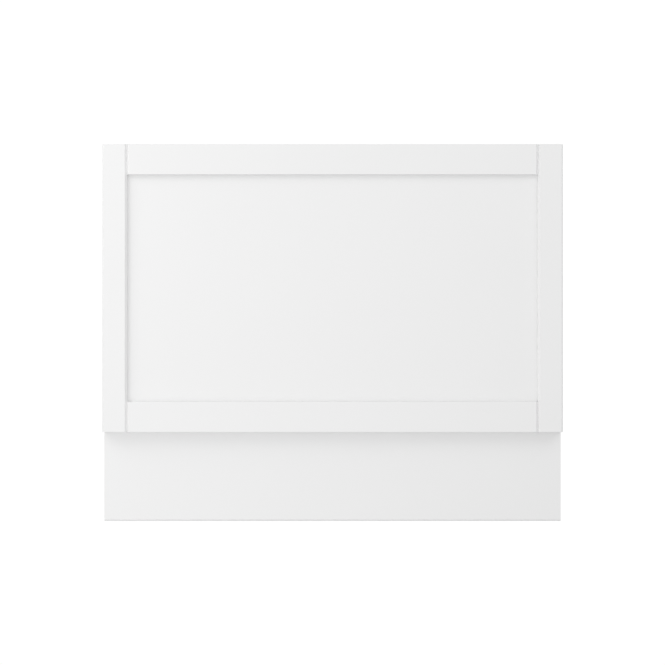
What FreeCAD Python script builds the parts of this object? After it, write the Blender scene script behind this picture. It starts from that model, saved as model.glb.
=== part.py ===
"""Shaker bath end panel with a plinth, lying on its back with its face up.

Two stiles and two rails, joined by stub tenons, hold a thin field in their grooves. A plinth
board is screwed to the back of the bottom rail and shows below it. Sizes are in millimetres.
X runs across the panel, Y up its face as it is fitted, and Z out of its face. The origin is on
the floor, under the middle of the part.
"""

import FreeCAD, Part

import os

from FreeCAD import Vector

# Frame
PANEL_WIDTH = 680.0
PANEL_HEIGHT = 425.0
FRAME_THICKNESS = 18.0
STILE_WIDTH = 36.6
RAIL_WIDTH = 44.8
JOINT_BEVEL = 3.0  # 45 degrees, along the stiles' inner edges and the rails' shoulders
STILE_BEVEL = 1.8  # 45 degrees, along the stiles' outer front edges
RAIL_EASE = 0.3  # 45 degrees, along the rails' front edges and across the stiles' ends

# Field and the grooves that hold it
FIELD_THICKNESS = 6.0
RECESS_DEPTH = 7.0  # from the frame's face down to the field's face
GROOVE_DEPTH = 10.0
GROOVE_PLAY = 0.2  # behind the field, so that it slides in
FIELD_FLOAT = 1.0  # from the field's edges to the grooves' floors, so that it can swell

# Plinth
PLINTH_THICKNESS = 18.0
PLINTH_DROP = 134.0  # height of plinth that shows below the frame
PLINTH_OVERLAP = 41.0  # height of plinth behind the frame
PLINTH_RADIUS = 3.0  # on the plinth's long edges, where its foil wraps round

# Screw holes from the plinth into the bottom rail
SCREW_COUNT = 4
SCREW_INSET = 45.0  # from the rail's shoulder to the nearest screw
SHANK_HOLE = 4.5  # diameter through the plinth
HEAD_HOLE = 8.5  # diameter of the 90 degree countersink's mouth
PILOT_HOLE = 2.8  # diameter in the rail
TIP_COVER = 6.0  # wood left between a pilot hole's end and the rail's face

# Levels above the floor
FRAME_BACK = PLINTH_THICKNESS
FRAME_FACE = FRAME_BACK + FRAME_THICKNESS
GROOVE_FRONT = FRAME_FACE - RECESS_DEPTH
GROOVE_BACK = GROOVE_FRONT - FIELD_THICKNESS - GROOVE_PLAY

# Places on the face
PANEL_TOP = (PANEL_HEIGHT + PLINTH_DROP) / 2
PANEL_BOTTOM = PANEL_TOP - PANEL_HEIGHT
PLINTH_FOOT = PANEL_BOTTOM - PLINTH_DROP
PANEL_MIDDLE = Vector(0, (PANEL_TOP + PANEL_BOTTOM) / 2, 0)
PANEL_EDGE = PANEL_WIDTH / 2
SHOULDER = PANEL_EDGE - STILE_WIDTH  # where the rails meet the stiles

CUT_MARGIN = 1.0  # how far a cutter runs past the wood


def box(x, y, z):
    """A box between the low and high ends given along each axis."""
    (x0, x1), (y0, y1), (z0, z1) = x, y, z
    return Part.makeBox(x1 - x0, y1 - y0, z1 - z0, Vector(x0, y0, z0))


def half_turn(shape):
    """A copy turned half round the middle of the panel's face."""
    turned = shape.copy()
    turned.rotate(PANEL_MIDDLE, Vector(0, 0, 1), 180)
    return turned


def corner_arc(centre, radius, across, up):
    """A quarter circle in the XZ plane, from the across direction to the up direction."""
    middle = (across + up).normalize()
    points = [centre + direction * radius for direction in (across, middle, up)]
    return Part.Arc(*points).toShape()


def polygon_face(points):
    """A flat face inside the closed run of straight lines through the points."""
    return Part.Face(Part.makePolygon(points + points[:1]))


def frame_section(width, outer_bevel, inner_bevel):
    """Section of a stile or rail in the XZ plane, from its outer edge at X 0 to its inner edge.

    Both front edges are bevelled, and the inner edge has the groove.
    """
    outline = [
        (0, FRAME_BACK),
        (0, FRAME_FACE - outer_bevel),
        (outer_bevel, FRAME_FACE),
        (width - inner_bevel, FRAME_FACE),
        (width, FRAME_FACE - inner_bevel),
        (width, GROOVE_FRONT),
        (width - GROOVE_DEPTH, GROOVE_FRONT),
        (width - GROOVE_DEPTH, GROOVE_BACK),
        (width, GROOVE_BACK),
        (width, FRAME_BACK),
    ]
    return polygon_face([Vector(x, 0, z) for x, z in outline])


def bevel_waste(bevel, edge, away, along):
    """A prism of what a 45 degree bevel takes off a front edge.

    It starts at the edge's corner, runs on by the along vector, and reaches past the wood in
    the away direction and over the face.
    """
    corner = edge + (away + Vector(0, 0, 1)) * CUT_MARGIN
    reach = bevel + 2 * CUT_MARGIN  # both short sides of the 45 degree triangle
    triangle = polygon_face([corner, corner - away * reach, corner - Vector(0, 0, reach)])
    return triangle.extrude(along)


def left_stile():
    """The left upright, with its groove open at both ends."""
    section = frame_section(STILE_WIDTH, STILE_BEVEL, JOINT_BEVEL)
    section.translate(Vector(-PANEL_EDGE, PANEL_BOTTOM, 0))
    stile = section.extrude(Vector(0, PANEL_HEIGHT, 0))
    top_corner = Vector(-PANEL_EDGE, PANEL_TOP, FRAME_FACE)
    top_waste = bevel_waste(RAIL_EASE, top_corner, Vector(0, 1, 0), Vector(PANEL_WIDTH, 0, 0))
    return stile.cut([top_waste, half_turn(top_waste)])


def top_rail():
    """The top cross piece, with bevelled shoulders and a stub tenon at each end."""
    section = frame_section(RAIL_WIDTH, RAIL_EASE, RAIL_EASE)
    section.rotate(Vector(0, 0, 0), Vector(0, 0, 1), -90)
    section.translate(Vector(-SHOULDER, PANEL_TOP, 0))
    rail = section.extrude(Vector(2 * SHOULDER, 0, 0))
    left_corner = Vector(-SHOULDER, PANEL_BOTTOM, FRAME_FACE)
    left_waste = bevel_waste(
        JOINT_BEVEL, left_corner, Vector(-1, 0, 0), Vector(0, PANEL_HEIGHT, 0)
    )
    rail = rail.cut([left_waste, half_turn(left_waste)])
    tenon_height = RAIL_WIDTH - GROOVE_DEPTH
    tenons = [
        box(
            (start, start + GROOVE_DEPTH),
            (PANEL_TOP - tenon_height, PANEL_TOP),
            (GROOVE_BACK, GROOVE_FRONT),
        )
        for start in (-SHOULDER - GROOVE_DEPTH, SHOULDER)
    ]
    return rail.fuse(tenons).removeSplitter()


def screw_places():
    """Where the plinth screws stand, in one row along the middle of the overlap."""
    first = -SHOULDER + SCREW_INSET
    step = -2 * first / (SCREW_COUNT - 1)
    height = PANEL_BOTTOM + PLINTH_OVERLAP / 2
    return [Vector(first + step * i, height, 0) for i in range(SCREW_COUNT)]


def bottom_rail():
    """The top rail turned round, with a pilot hole for each plinth screw."""
    pilot_depth = FRAME_THICKNESS - TIP_COVER
    pilots = [
        Part.makeCylinder(PILOT_HOLE / 2, pilot_depth, place + Vector(0, 0, FRAME_BACK))
        for place in screw_places()
    ]
    return half_turn(top_rail()).cut(pilots)


def centre_panel():
    """The flat field, pressed forward against the front cheeks of the grooves."""
    reach = GROOVE_DEPTH - FIELD_FLOAT
    return box(
        (-SHOULDER - reach, SHOULDER + reach),
        (PANEL_BOTTOM + RAIL_WIDTH - reach, PANEL_TOP - RAIL_WIDTH + reach),
        (GROOVE_FRONT - FIELD_THICKNESS, GROOVE_FRONT),
    )


def plinth_section():
    """Section of the plinth in the XZ plane, with X along its height and its foot at X 0."""
    height = PLINTH_DROP + PLINTH_OVERLAP
    low = PLINTH_RADIUS
    far = height - PLINTH_RADIUS
    high = PLINTH_THICKNESS - PLINTH_RADIUS
    right = Vector(1, 0, 0)
    up = Vector(0, 0, 1)
    arcs = [
        corner_arc(Vector(low, 0, low), PLINTH_RADIUS, -right, -up),
        corner_arc(Vector(far, 0, low), PLINTH_RADIUS, right, -up),
        corner_arc(Vector(far, 0, high), PLINTH_RADIUS, right, up),
        corner_arc(Vector(low, 0, high), PLINTH_RADIUS, -right, up),
    ]
    sides = [
        Part.makeLine(Vector(low, 0, 0), Vector(far, 0, 0)),
        Part.makeLine(Vector(height, 0, low), Vector(height, 0, high)),
        Part.makeLine(Vector(far, 0, PLINTH_THICKNESS), Vector(low, 0, PLINTH_THICKNESS)),
        Part.makeLine(Vector(0, 0, high), Vector(0, 0, low)),
    ]
    edges = Part.sortEdges(sides + arcs)[0]
    return Part.Face(Part.Wire(edges))


def screw_hole(place):
    """A shank hole through the plinth, countersunk at its back."""
    shank = Part.makeCylinder(SHANK_HOLE / 2, PLINTH_THICKNESS, place)
    sink_depth = (HEAD_HOLE - SHANK_HOLE) / 2
    sink = Part.makeCone(HEAD_HOLE / 2, SHANK_HOLE / 2, sink_depth, place)
    return shank.fuse(sink)


def plinth_board():
    """The plinth, as wide as the panel, flat against the frame's back."""
    section = plinth_section()
    section.rotate(Vector(0, 0, 0), Vector(0, 0, 1), 90)
    section.translate(Vector(-PANEL_EDGE, PLINTH_FOOT, 0))
    board = section.extrude(Vector(PANEL_WIDTH, 0, 0))
    return board.cut([screw_hole(place) for place in screw_places()])


def main():
    """Builds every piece and writes each one to its own STEP file."""
    stile = left_stile()
    pieces = {
        "left_stile": stile,
        "right_stile": half_turn(stile),
        "top_rail": top_rail(),
        "bottom_rail": bottom_rail(),
        "centre_panel": centre_panel(),
        "plinth_board": plinth_board(),
    }
    os.makedirs("parts", exist_ok=True)
    for name, shape in pieces.items():
        shape.exportStep(f"parts/{name}.step")


main()
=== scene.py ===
"""Looks of the shaker bath end panel: coats, joint lines, plinth screws, light and camera.

The panel lies on its back on a pale floor, face up, and the camera looks straight down on it.
Lengths are in metres, in the panel's own frame: X across it, Y up its face, Z out of its face.
"""

from collections import namedtuple

import bpy
import numpy as np
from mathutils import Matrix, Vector


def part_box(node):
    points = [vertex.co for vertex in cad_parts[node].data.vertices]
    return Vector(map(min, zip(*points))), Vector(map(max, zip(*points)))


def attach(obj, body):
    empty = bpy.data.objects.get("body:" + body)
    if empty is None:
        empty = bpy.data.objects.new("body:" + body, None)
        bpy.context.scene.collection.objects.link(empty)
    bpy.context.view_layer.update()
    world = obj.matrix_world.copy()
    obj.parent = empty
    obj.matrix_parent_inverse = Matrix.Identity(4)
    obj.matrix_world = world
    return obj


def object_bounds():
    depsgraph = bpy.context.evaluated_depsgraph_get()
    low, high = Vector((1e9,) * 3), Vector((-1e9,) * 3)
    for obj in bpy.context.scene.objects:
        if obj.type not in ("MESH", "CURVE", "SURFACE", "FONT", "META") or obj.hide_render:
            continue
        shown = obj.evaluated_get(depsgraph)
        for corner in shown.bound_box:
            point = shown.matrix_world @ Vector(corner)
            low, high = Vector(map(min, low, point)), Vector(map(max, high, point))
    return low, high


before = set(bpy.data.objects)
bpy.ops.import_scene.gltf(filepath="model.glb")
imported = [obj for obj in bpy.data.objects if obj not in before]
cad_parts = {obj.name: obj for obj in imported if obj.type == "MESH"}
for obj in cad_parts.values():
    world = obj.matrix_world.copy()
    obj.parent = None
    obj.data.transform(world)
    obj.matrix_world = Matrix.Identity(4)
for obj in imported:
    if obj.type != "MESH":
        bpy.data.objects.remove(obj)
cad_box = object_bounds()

# Places read from the frame
STILE_LOW, STILE_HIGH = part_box("left_stile")
FACE_LEVEL = STILE_HIGH.z
SHOULDER = -STILE_HIGH.x  # from the middle out to where the rails meet the stiles
PANEL_BOTTOM = STILE_LOW.y
PLINTH_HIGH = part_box("plinth_board")[1]

# Coats: grey tones and roughness that drift between two ends, the waves per metre of that drift,
# and the waves per metre and the height of a fine skin, unless the coat only lies over another
Skin = namedtuple("Skin", "waves height")
Coat = namedtuple("Coat", "deep pale smooth rough waves skin", defaults=[None])
FRAME_COAT = Coat(0.893, 0.907, 0.36, 0.44, 9.0, Skin(450.0, 0.000012))
FIELD_COAT = Coat(0.893, 0.907, 0.37, 0.45, 7.0, Skin(480.0, 0.000012))
PLINTH_FOIL = Coat(0.893, 0.907, 0.40, 0.48, 6.0, Skin(700.0, 0.000008))
ZINC_COAT = Coat(0.540, 0.700, 0.26, 0.42, 600.0, Skin(2500.0, 0.000006))
# Frame edges: darker and duller where exposed fibres soak up the coat, and darker still as painted
# shade for the recess walls and the frame's bottom edge
EDGE_COAT_AND_SHADE = Coat(0.843, 0.857, 0.50, 0.58, 9.0)
# Bevels beside the rails' shoulders: duller, and darker as painted shade in the V-joints
BEVEL_SHADE_COAT = Coat(0.873, 0.887, 0.50, 0.58, 9.0)
BACK_FOIL = Coat(0.770, 0.810, 0.50, 0.60, 14.0)
DRIFT_DETAIL, SKIN_DETAIL = 4.0, 2.0  # finer layers in each noise

# Which way a face looks, by its normal's Z
BACK_NORMAL = -0.7  # a back has less
EDGE_NORMAL = 0.5  # an edge or a back has less
FACE_NORMAL = 0.9  # a bevel has less, and more than an edge

# Joints: dark hairlines where the rails meet the stiles and the plinth meets the frame, and the
# bevels beside the rails' shoulders, which carry painted shade
Joint = namedtuple("Joint", "axis place")
RAIL_JOINT = Joint("X", SHOULDER)
PLINTH_JOINT = Joint("Z", PLINTH_HIGH.z)
LINE_TONE = 0.20
LINE_REACH = 0.0004  # from the joint to the hairline's edge
BEVEL_REACH = 0.004  # from the shoulder, past the edge of its bevels

Groups = namedtuple("Groups", "noise back edge bevel line")  # the node groups that the coats share

# Plinth screws: countersunk wood screws in the holes along the middle of the overlap
SCREW_COUNT = 4
SCREW_INSET = 0.045  # from the rail's shoulder to the nearest screw
HEAD_RADIUS = 0.0038
HEAD_SINK = 0.0003  # from the plinth's back in to the head's face
HEAD_RIM = 0.0001  # depth of the small edge round the head
NECK_RADIUS = 0.0016
CORE_RADIUS = 0.0013
THREAD_RADIUS = 0.0019
THREAD_PITCH = 0.0018
THREAD_SHARE = 0.22  # half the thread's width as a share of its pitch
THREAD_START = 0.0110
TIP_START = 0.0235
TIP_END = 0.0280
TIP_RADIUS = 0.0001
CROSS_REACH = 0.0022  # from the head's middle to the end of a recess arm
CROSS_ARM = 0.0005  # half the width of a recess arm
CROSS_DEPTH = 0.0014
CROSS_SLOPE = 0.00015  # over which an arm's side falls
CROSS_RUNOUT = 0.0009  # over which an arm's floor rises to its end
SCREW_TURNS = (0.2, 1.3)  # angle of the first and the last screw's recess
HEAD_ROWS, CONE_ROWS, SHANK_ROWS, SCREW_COLUMNS = 36, 8, 150, 48

# Lamps: square soft boxes that all point at the middle of the floor under the panel
Lamp = namedtuple("Lamp", "place size power")
LAMPS = {
    "overhead": Lamp((0.0, 0.0, 2.0), 1.2, 4.58),
    "upper_left": Lamp((-1.0, 0.8, 0.6), 0.8, 3.77),
    "left": Lamp((-1.2, 0.0, 0.6), 0.8, 1.13),
    "lower_left": Lamp((-1.16, -1.16, 1.15), 1.2, 3.33),
    "high_lower_left": Lamp((-0.71, -0.71, 1.73), 1.2, 2.29),
    "upper_right": Lamp((1.16, 1.16, 1.15), 1.2, 5.68),
}
SURROUND_STRENGTH = 0.570  # how strongly it lights the panel
SURROUND_WHITE = 1.0  # how bright the camera sees it

# Floor
FLOOR_SIZE = 8.0
FLOOR_TONE = 0.5  # what it throws back on the panel
FLOOR_WHITE = 1.02  # how bright the camera sees it, out from under the panel
FLOOR_ROUGHNESS = 0.9
SHADE_REACH = 0.05  # from the panel's outline in to where the floor shows in its own tone

# Camera: straight down on the face, as far off as makes the set-back plinth look narrower
IMAGE_PIXELS = 665
SENSOR_WIDTH = 0.036
CAMERA_DISTANCE = 1.780  # from the face
FACE_PIXELS_PER_METRE = 677.94
CAMERA_RISE = 0.0015  # from the panel's middle up its face to the point under the camera
NEAR_CLIP = 0.1
MILLIMETRES = 1000.0


def grey(value):
    """A neutral colour of that value."""
    return (value, value, value, 1.0)


def add_node(tree, kind, **settings):
    """A node of that kind, with its properties set by name."""
    node = tree.nodes.new(kind)
    for name, value in settings.items():
        setattr(node, name, value)
    return node


def feed(tree, socket, value):
    """Links a socket to the input socket, or sets a plain value on it."""
    if isinstance(value, bpy.types.NodeSocket):
        tree.links.new(value, socket)
    else:
        socket.default_value = value


def maths(tree, operation, *values):
    """The output of a Math node of those sockets or numbers."""
    node = add_node(tree, "ShaderNodeMath", operation=operation)
    for socket, value in zip(node.inputs, values):
        feed(tree, socket, value)
    return node.outputs["Value"]


def parts_of(tree, kind):
    """The X, Y and Z sockets of the Object coordinates or of the object's Normal."""
    place = add_node(tree, "ShaderNodeTexCoord")
    parts = add_node(tree, "ShaderNodeSeparateXYZ")
    tree.links.new(place.outputs[kind], parts.inputs["Vector"])
    return parts.outputs


def new_group(name, inputs, outputs):
    """An empty shader node group with float sockets, and its two end nodes."""
    tree = bpy.data.node_groups.new(name, "ShaderNodeTree")
    for label in inputs:
        tree.interface.new_socket(label, in_out="INPUT", socket_type="NodeSocketFloat")
    for label in outputs:
        tree.interface.new_socket(label, in_out="OUTPUT", socket_type="NodeSocketFloat")
    return tree, tree.nodes.new("NodeGroupInput"), tree.nodes.new("NodeGroupOutput")


def coat_noise():
    """Group: a noise over Object coordinates, from its waves per metre and its detail."""
    tree, start, end = new_group("coat_noise", ["Waves", "Detail"], ["Noise"])
    place = add_node(tree, "ShaderNodeTexCoord")
    noise = add_node(tree, "ShaderNodeTexNoise")
    tree.links.new(place.outputs["Object"], noise.inputs["Vector"])
    tree.links.new(start.outputs["Waves"], noise.inputs["Scale"])
    tree.links.new(start.outputs["Detail"], noise.inputs["Detail"])
    tree.links.new(noise.outputs["Fac"], end.inputs["Noise"])
    return tree


def back_mask():
    """Group: 1 on faces that look back, and 0 on all others."""
    tree, _, end = new_group("back_mask", [], ["Mask"])
    back = maths(tree, "LESS_THAN", parts_of(tree, "Normal")["Z"], BACK_NORMAL)
    tree.links.new(back, end.inputs["Mask"])
    return tree


def edge_mask():
    """Group: 1 on a board's edges, and 0 on its face, bevels and back."""
    # where the edge coat goes, which is partly painted shade
    tree, _, end = new_group("edge_mask", [], ["Mask"])
    way = parts_of(tree, "Normal")["Z"]
    above_back = maths(tree, "GREATER_THAN", way, BACK_NORMAL)
    below_bevel = maths(tree, "LESS_THAN", way, EDGE_NORMAL)
    tree.links.new(maths(tree, "MULTIPLY", above_back, below_bevel), end.inputs["Mask"])
    return tree


def bevel_mask():
    """Group: 1 on the bevels beside the rails' shoulders, and 0 elsewhere.

    A bevel's normal leans between a face's and an edge's, and its distance from the middle is near
    the shoulder's.
    """
    tree, _, end = new_group("bevel_mask", [], ["Mask"])
    # where the painted shade of the V-joints goes
    way = parts_of(tree, "Normal")["Z"]
    above_edge = maths(tree, "GREATER_THAN", way, EDGE_NORMAL)
    below_face = maths(tree, "LESS_THAN", way, FACE_NORMAL)
    distance = maths(tree, "ABSOLUTE", parts_of(tree, "Object")["X"])
    beside = maths(tree, "COMPARE", distance, SHOULDER, BEVEL_REACH)
    bevel = maths(tree, "MULTIPLY", beside, maths(tree, "MULTIPLY", above_edge, below_face))
    tree.links.new(bevel, end.inputs["Mask"])
    return tree


def line_mask():
    """Group: 1 on a hairline beside a joint, on the frame's edges and backs, and 0 elsewhere.

    The hairline is where the place's distance from the middle nears the joint's. It stops at the
    frame's bottom.
    """
    tree, start, end = new_group("line_mask", ["Place", "Joint"], ["Mask"])
    distance = maths(tree, "ABSOLUTE", start.outputs["Place"])
    near = maths(tree, "COMPARE", distance, start.outputs["Joint"], LINE_REACH)
    aside = maths(tree, "LESS_THAN", parts_of(tree, "Normal")["Z"], EDGE_NORMAL)
    height = parts_of(tree, "Object")["Y"]
    on_frame = maths(tree, "GREATER_THAN", height, PANEL_BOTTOM - LINE_REACH)
    line = maths(tree, "MULTIPLY", near, maths(tree, "MULTIPLY", aside, on_frame))
    tree.links.new(line, end.inputs["Mask"])
    return tree


def new_material(name):
    """A material with its node tree and its Principled shader."""
    material = bpy.data.materials.new(name)
    material.use_nodes = True
    return material, material.node_tree, material.node_tree.nodes["Principled BSDF"]


def mixed(tree, kind, factor, low, high):
    """The output of a Mix node of colours or floats, from low to high by the factor socket."""
    mix = add_node(tree, "ShaderNodeMix", data_type=kind)
    wanted = "RGBA" if kind == "RGBA" else "VALUE"
    ends = [socket for socket in mix.inputs if socket.type == wanted and socket.name != "Factor"]
    feed(tree, ends[0], low)
    feed(tree, ends[1], high)
    tree.links.new(factor, mix.inputs["Factor"])
    return next(socket for socket in mix.outputs if socket.type == wanted)


def noise_of(tree, groups, waves, detail):
    """The output of the noise group at those settings."""
    node = add_node(tree, "ShaderNodeGroup", node_tree=groups.noise)
    node.inputs["Waves"].default_value = waves
    node.inputs["Detail"].default_value = detail
    return node.outputs["Noise"]


def tones(tree, groups, coat):
    """The colour and roughness sockets of a coat, which drift between its two ends."""
    drift = noise_of(tree, groups, coat.waves, DRIFT_DETAIL)
    colour = mixed(tree, "RGBA", drift, grey(coat.deep), grey(coat.pale))
    return colour, mixed(tree, "FLOAT", drift, coat.smooth, coat.rough)


def tones_over(tree, groups, mask, coat, colour, roughness):
    """The colour and roughness sockets with another coat's over them, where the mask group is 1."""
    share = add_node(tree, "ShaderNodeGroup", node_tree=mask).outputs["Mask"]
    over_colour, over_roughness = tones(tree, groups, coat)
    colour = mixed(tree, "RGBA", share, colour, over_colour)
    return colour, mixed(tree, "FLOAT", share, roughness, over_roughness)


def relief(tree, groups, skin):
    """The normal socket of a coat's fine skin."""
    bump = add_node(tree, "ShaderNodeBump")
    bump.inputs["Distance"].default_value = skin.height
    tree.links.new(noise_of(tree, groups, skin.waves, SKIN_DETAIL), bump.inputs["Height"])
    return bump.outputs["Normal"]


def dress(tree, shader, colour, roughness, normal):
    """Links what changes over the surface to the shader."""
    tree.links.new(colour, shader.inputs["Base Color"])
    tree.links.new(roughness, shader.inputs["Roughness"])
    tree.links.new(normal, shader.inputs["Normal"])


def lined(tree, groups, joint, colour):
    """The colour socket with a joint's hairline over it."""
    mask = add_node(tree, "ShaderNodeGroup", node_tree=groups.line)
    mask.inputs["Joint"].default_value = joint.place
    tree.links.new(parts_of(tree, "Object")[joint.axis], mask.inputs["Place"])
    return mixed(tree, "RGBA", mask.outputs["Mask"], colour, grey(LINE_TONE))


def white_board(name, groups, coat, overlays, joint=None):
    """Fibreboard with a white coat, and other coats over it where their mask groups are 1.

    A board with a joint has the joint's hairline.
    """
    material, tree, shader = new_material(name)
    colour, roughness = tones(tree, groups, coat)
    for mask, over in overlays:
        colour, roughness = tones_over(tree, groups, mask, over, colour, roughness)
    if joint:
        colour = lined(tree, groups, joint, colour)
    dress(tree, shader, colour, roughness, relief(tree, groups, coat.skin))
    return material


def zinc_plate(groups):
    """Bright zinc plate, with small patches in its tone and polish."""
    material, tree, shader = new_material("zinc_plate")
    colour, roughness = tones(tree, groups, ZINC_COAT)
    shader.inputs["Metallic"].default_value = 1.0
    dress(tree, shader, colour, roughness, relief(tree, groups, ZINC_COAT.skin))
    return material


def paint_boards(groups):
    """Gives every board its coat, with duller foil on its back.

    The frame's coat is darker and duller on its edges, where the exposed fibres soak it up, and its
    edge tone is also painted shade for the recess walls and the frame's bottom edge. On the bevels
    beside the shoulders it is duller, and darker as painted shade in the V-joints.
    """
    backed = [(groups.back, BACK_FOIL)]
    cut_and_shaded = backed + [(groups.edge, EDGE_COAT_AND_SHADE), (groups.bevel, BEVEL_SHADE_COAT)]
    stile_paint = white_board("stile_paint", groups, FRAME_COAT, cut_and_shaded)
    rail_paint = white_board("rail_paint", groups, FRAME_COAT, cut_and_shaded, RAIL_JOINT)
    paints = {
        "left_stile": stile_paint,
        "right_stile": stile_paint,
        "top_rail": rail_paint,
        "bottom_rail": rail_paint,
        "centre_panel": white_board("field_paint", groups, FIELD_COAT, backed),
        "plinth_board": white_board("plinth_foil", groups, PLINTH_FOIL, backed, PLINTH_JOINT),
    }
    for node, paint in paints.items():
        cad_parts[node].material_slots[0].material = paint


def new_object(name, points, faces, material):
    """A mesh object of those points and faces, at the origin."""
    mesh = bpy.data.meshes.new(name)
    mesh.from_pydata(points, [], faces)
    mesh.materials.append(material)
    made = bpy.data.objects.new(name, mesh)
    bpy.context.scene.collection.objects.link(made)
    return made


def tube_faces(tubes, rows, columns):
    """Faces of like tubes, each a grid of points whose columns close on themselves.

    A quad joins each point to the next column and the next row, and each tube's first and last
    row has a cap.
    """
    tube = np.arange(tubes)[:, None, None] * rows * columns
    row = np.arange(rows - 1)[:, None] * columns
    column = np.arange(columns)
    beside = np.roll(column, -1)
    corners = [row + column, row + beside, row + columns + beside, row + columns + column]
    quads = np.stack([tube + corner for corner in corners], axis=-1).reshape(-1, 4)
    first_caps = tube[:, 0] + column[::-1]
    last_caps = tube[:, 0] + (rows - 1) * columns + column
    return quads.tolist() + first_caps.tolist() + last_caps.tolist()


def head_rows(angle):
    """Radius and height of the screw head's rows: a flat face with a cross recess, then a cone.

    The face dips by the recess depth inside two crossed arms, whose sides slope and whose floor
    runs out at their ends. The cone narrows by 45 degrees from the rim towards the neck, whose
    own first row ends it.
    """
    face = np.linspace(TIP_RADIUS, HEAD_RADIUS - HEAD_RIM, HEAD_ROWS)
    across = abs(face[:, None] * np.cos(angle))
    along = abs(face[:, None] * np.sin(angle))
    side = np.clip((CROSS_ARM - np.minimum(across, along)) / CROSS_SLOPE, 0, 1)
    floor = np.clip((CROSS_REACH - face[:, None]) / CROSS_RUNOUT, 0, 1)
    face_height = HEAD_SINK + CROSS_DEPTH * side * floor
    cone = np.linspace(HEAD_RADIUS, NECK_RADIUS, CONE_ROWS, endpoint=False)
    cone_height = HEAD_SINK + HEAD_RIM + HEAD_RADIUS - cone
    radius = np.concatenate([face, cone])[:, None] + 0 * angle
    height = np.concatenate([face_height, cone_height[:, None] + 0 * angle])
    return radius, height


def shank_rows(angle):
    """Radius and height of the screw shank's rows: a plain neck, a helical thread and a point.

    The thread is a triangular ridge on the core, where the height less the pitch's share of the
    angle is near a whole number of pitches. Core and ridge both shrink to the point.
    """
    neck_height = HEAD_SINK + HEAD_RIM + HEAD_RADIUS - NECK_RADIUS
    height = np.linspace(neck_height, TIP_END, SHANK_ROWS)[:, None]
    phase = (height / THREAD_PITCH - angle / (2 * np.pi)) % 1 - 0.5
    ridge = np.clip(1 - abs(phase) / THREAD_SHARE, 0, 1)
    point = np.clip((TIP_END - height) / (TIP_END - TIP_START), 0, 1)
    threaded = CORE_RADIUS + (THREAD_RADIUS - CORE_RADIUS) * ridge
    pointed = TIP_RADIUS + (threaded - TIP_RADIUS) * point
    radius = np.where(height < THREAD_START, NECK_RADIUS, pointed)
    return radius, height + 0 * angle


def screw_points(places, level, turns):
    """The screws' points, on a grid of rows along the outline and angles round it for each.

    A point lies the row's radius out from its screw's middle, at its angle and the screw's turn.
    """
    angle = np.linspace(0, 2 * np.pi, SCREW_COLUMNS, endpoint=False)[None, :]
    radius, height = (np.concatenate(rows) for rows in zip(head_rows(angle), shank_rows(angle)))
    turned = angle + turns[:, None, None]
    across = places[:, None, None] + radius * np.cos(turned)
    along = level + radius * np.sin(turned)
    return np.stack(np.broadcast_arrays(across, along, height), axis=-1).reshape(-1, 3)


def plinth_screws(material):
    """All the plinth screws as one mesh, evenly spaced along the middle of the overlap."""
    places = np.linspace(-SHOULDER + SCREW_INSET, SHOULDER - SCREW_INSET, SCREW_COUNT)
    level = (PANEL_BOTTOM + PLINTH_HIGH.y) / 2
    turns = np.linspace(*SCREW_TURNS, SCREW_COUNT)
    points = screw_points(places, level, turns)
    faces = tube_faces(SCREW_COUNT, HEAD_ROWS + CONE_ROWS + SHANK_ROWS, SCREW_COLUMNS)
    screws = new_object("plinth_screws", points.tolist(), faces, material)
    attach(screws, "root")


def beyond_panel(tree):
    """A value socket that rises from 0 well under the panel to 1 at its outline and beyond.

    It follows the larger of the two distances out from the panel's sides and its ends.
    """
    place = parts_of(tree, "Object")
    past_side = maths(tree, "SUBTRACT", maths(tree, "ABSOLUTE", place["X"]), cad_box[1].x)
    past_end = maths(tree, "SUBTRACT", maths(tree, "ABSOLUTE", place["Y"]), cad_box[1].y)
    rise = add_node(tree, "ShaderNodeMapRange")
    rise.inputs["From Min"].default_value = -SHADE_REACH
    rise.inputs["From Max"].default_value = 0.0
    tree.links.new(maths(tree, "MAXIMUM", past_side, past_end), rise.inputs["Value"])
    return rise.outputs["Result"]


def floor_paint():
    """Mid-toned floor that the camera sees as plain white, except in the shade under the panel."""
    material, tree, shader = new_material("pale_floor")
    shader.inputs["Base Color"].default_value = grey(FLOOR_TONE)
    shader.inputs["Roughness"].default_value = FLOOR_ROUGHNESS
    path = add_node(tree, "ShaderNodeLightPath")
    share = maths(tree, "MULTIPLY", path.outputs["Is Camera Ray"], beyond_panel(tree))
    white = add_node(tree, "ShaderNodeEmission")
    white.inputs["Strength"].default_value = FLOOR_WHITE
    seen = add_node(tree, "ShaderNodeMixShader")
    tree.links.new(share, seen.inputs["Fac"])
    tree.links.new(shader.outputs["BSDF"], seen.inputs[1])
    tree.links.new(white.outputs["Emission"], seen.inputs[2])
    tree.links.new(seen.outputs["Shader"], tree.nodes["Material Output"].inputs["Surface"])
    return material


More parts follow.
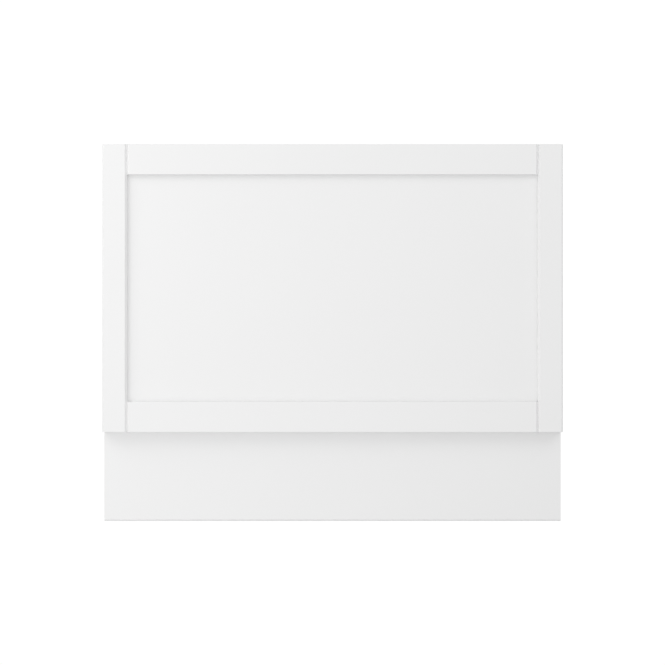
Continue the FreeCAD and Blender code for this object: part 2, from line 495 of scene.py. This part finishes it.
def lay_floor():
    """The pale floor under the panel."""
    half = FLOOR_SIZE / 2
    corners = [(-half, -half, 0), (half, -half, 0), (half, half, 0), (-half, half, 0)]
    new_object("floor", corners, [(0, 1, 2, 3)], floor_paint())


def hang_lamps():
    """The soft boxes, each turned to the middle of the floor and out of the camera's sight."""
    for name, lamp in LAMPS.items():
        light = bpy.data.lights.new(name, "AREA")
        light.shape = "SQUARE"
        light.size = lamp.size
        light.energy = lamp.power
        box = bpy.data.objects.new(name, light)
        box.location = lamp.place
        box.rotation_euler = (-Vector(lamp.place)).to_track_quat("-Z", "Y").to_euler()
        box.visible_camera = False
        bpy.context.scene.collection.objects.link(box)


def surround():
    """An even white surround that lights softly and that the camera sees as plain white."""
    world = bpy.data.worlds.new("surround")
    world.use_nodes = True
    tree = world.node_tree
    sky = tree.nodes["Background"]
    path = add_node(tree, "ShaderNodeLightPath")
    seen = path.outputs["Is Camera Ray"]
    strength = mixed(tree, "FLOAT", seen, SURROUND_STRENGTH, SURROUND_WHITE)
    sky.inputs["Color"].default_value = grey(1.0)
    tree.links.new(strength, sky.inputs["Strength"])
    bpy.context.scene.world = world


def place_camera():
    """The camera above the face, with the lens that gives the face its scale in the image."""
    lens = bpy.data.cameras.new("camera")
    lens.sensor_width = SENSOR_WIDTH * MILLIMETRES
    focal_length = FACE_PIXELS_PER_METRE * SENSOR_WIDTH * CAMERA_DISTANCE / IMAGE_PIXELS
    lens.lens = focal_length * MILLIMETRES
    lens.clip_start = NEAR_CLIP
    camera = bpy.data.objects.new("camera", lens)
    camera.location = (0, CAMERA_RISE, FACE_LEVEL + CAMERA_DISTANCE)
    bpy.context.scene.collection.objects.link(camera)
    bpy.context.scene.camera = camera


def plain_tones():
    """Shows whites and greys as they are lit, with no film curve over them."""
    bpy.context.scene.view_settings.view_transform = "Standard"


groups = Groups(coat_noise(), back_mask(), edge_mask(), bevel_mask(), line_mask())
paint_boards(groups)
plinth_screws(zinc_plate(groups))
lay_floor()
hang_lamps()
surround()
place_camera()
plain_tones()
